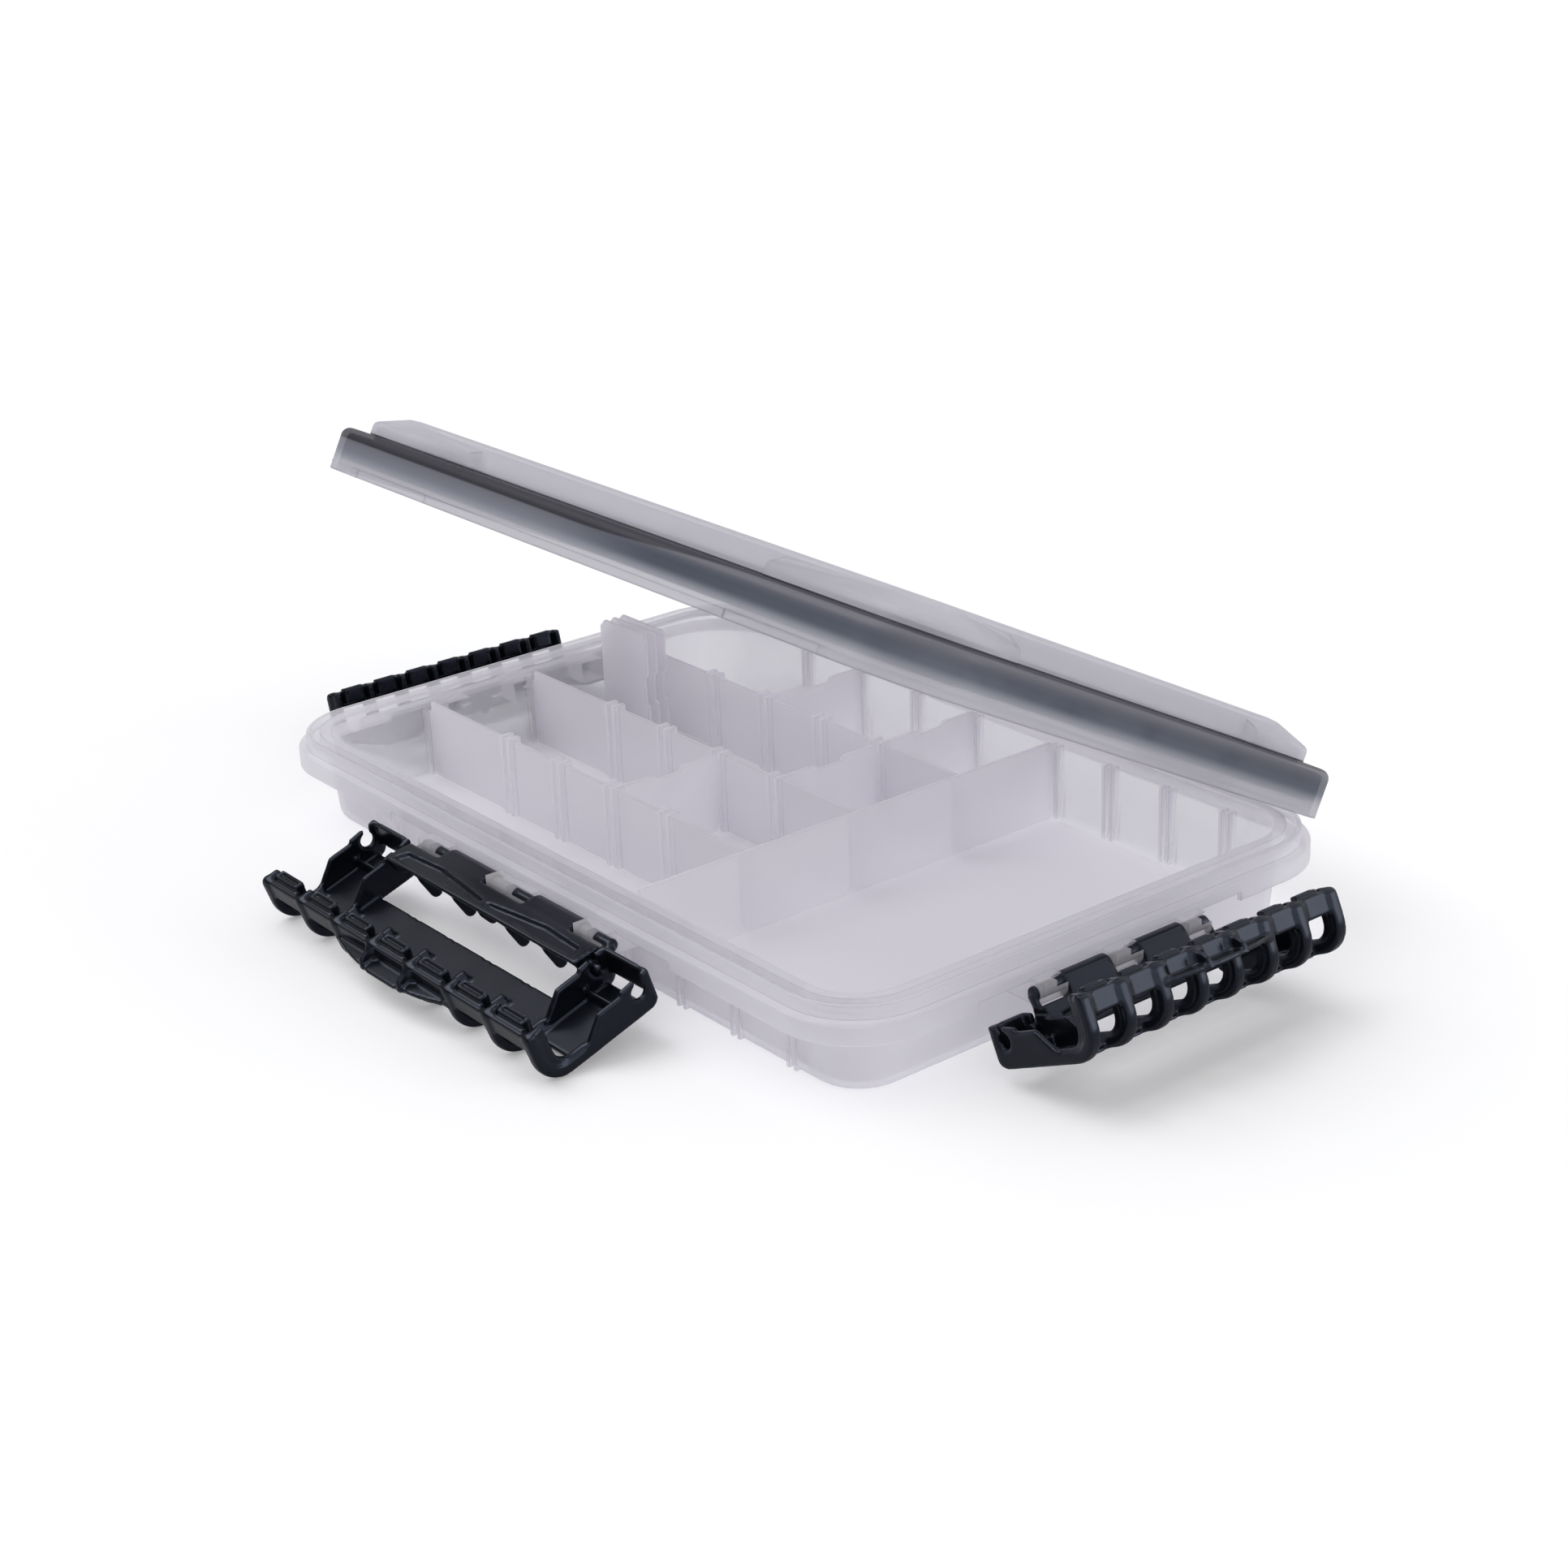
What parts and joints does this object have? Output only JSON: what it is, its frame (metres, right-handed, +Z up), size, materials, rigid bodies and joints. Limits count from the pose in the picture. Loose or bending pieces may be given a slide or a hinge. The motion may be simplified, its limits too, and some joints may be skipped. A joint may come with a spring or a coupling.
{
  "type": "fishing tackle box",
  "caption": "Shallow waterproof tackle box in translucent plastic: slotted dividers, hinged lid with a seal, and ribbed black hook latches on the front and both ends.",
  "frame": {"origin": "centre of the tray's flat underside, on the floor", "axes": "+X along the long side towards the open bay, +Y towards the hinge, +Z up"},
  "size_m": [0.4723, 0.301, 0.1572],
  "materials": {
    "box": "translucent moulded polypropylene, satin",
    "divider": "translucent moulded polypropylene, satin",
    "lid_seal": "moulded, matt dark grey",
    "latch": "moulded black, semi-gloss",
    "hinge_pin": "drawn wire"
  },
  "bodies": {
    "tray": {"tray": "box", "hinge_pin_left": "hinge_pin", "hinge_pin_right": "hinge_pin", "long_divider_front": "divider", "long_divider_middle": "divider", "long_divider_rear": "divider", "bay_wall": "divider"},
    "lid": {"lid": "box", "lid_seal": "lid_seal"},
    "front_link": {"front_link": "latch"},
    "front_handle": {"front_handle": "latch"},
    "left_link": {"left_link": "latch"},
    "left_handle": {"left_handle": "latch"},
    "right_link": {"right_link": "latch"},
    "right_handle": {"right_handle": "latch"},
    "cross_divider_1": {"cross_divider_1": "divider"},
    "cross_divider_2": {"cross_divider_2": "divider"},
    "cross_divider_3": {"cross_divider_3": "divider"},
    "cross_divider_4": {"cross_divider_4": "divider"},
    "spare_divider_1": {"spare_divider_1": "divider"},
    "spare_divider_2": {"spare_divider_2": "divider"},
    "spare_divider_3": {"spare_divider_3": "divider"}
  },
  "joints": [
    {"name": "lid_hinge", "type": "hinge", "parent": "tray", "child": "lid", "pos_m": [0, 0.1198, 0.0325], "axis": [-1, 0, 0], "range_deg": [-27.8, 147]},
    {"name": "front_link_hinge", "type": "hinge", "parent": "tray", "child": "front_link", "pos_m": [0, -0.119, 0.0242], "axis": [1, 0, 0], "range_deg": [-0.05, 65.06]},
    {"name": "front_handle_hinge", "type": "hinge", "parent": "front_link", "child": "front_handle", "pos_m": [0, -0.12877, 0.02064], "axis": [1, 0, 0], "range_deg": [-174, 0]},
    {"name": "left_link_hinge", "type": "hinge", "parent": "tray", "child": "left_link", "pos_m": [-0.1825, 0, 0.0242], "axis": [0, -1, 0], "range_deg": [-0.05, 52.66]},
    {"name": "left_handle_hinge", "type": "hinge", "parent": "left_link", "child": "left_handle", "pos_m": [-0.19128, 0, 0.01863], "axis": [0, -1, 0], "range_deg": [-157.6, 0]},
    {"name": "right_link_hinge", "type": "hinge", "parent": "tray", "child": "right_link", "pos_m": [0.1825, 0, 0.0242], "axis": [0, 1, 0], "range_deg": [-19.82, 32.65]},
    {"name": "right_handle_hinge", "type": "hinge", "parent": "right_link", "child": "right_handle", "pos_m": [0.18885, 0, 0.01596], "axis": [0, 1, 0], "range_deg": [-98.1, 59.5]},
    {"name": "cross_divider_1_lift", "type": "slide", "parent": "tray", "child": "cross_divider_1", "axis": [0, 0, 1], "range_m": [0, 0.03]},
    {"name": "cross_divider_2_lift", "type": "slide", "parent": "tray", "child": "cross_divider_2", "axis": [0, 0, 1], "range_m": [0, 0.03]},
    {"name": "cross_divider_3_lift", "type": "slide", "parent": "tray", "child": "cross_divider_3", "axis": [0, 0, 1], "range_m": [0, 0.03]},
    {"name": "cross_divider_4_lift", "type": "slide", "parent": "tray", "child": "cross_divider_4", "axis": [0, 0, 1], "range_m": [0, 0.03]},
    {"name": "spare_divider_1_lift", "type": "slide", "parent": "tray", "child": "spare_divider_1", "axis": [0, 0, 1], "range_m": [0, 0.03]},
    {"name": "spare_divider_2_lift", "type": "slide", "parent": "tray", "child": "spare_divider_2", "axis": [0, 0, 1], "range_m": [0, 0.03]},
    {"name": "spare_divider_3_lift", "type": "slide", "parent": "tray", "child": "spare_divider_3", "axis": [0, 0, 1], "range_m": [0, 0.03]}
  ],
  "couplings": [
    {"joint": "front_link_hinge", "follows": "front_handle_hinge", "ratio": -0.3736},
    {"joint": "left_link_hinge", "follows": "left_handle_hinge", "ratio": -0.3338},
    {"joint": "right_link_hinge", "follows": "right_handle_hinge", "ratio": -0.3323}
  ]
}
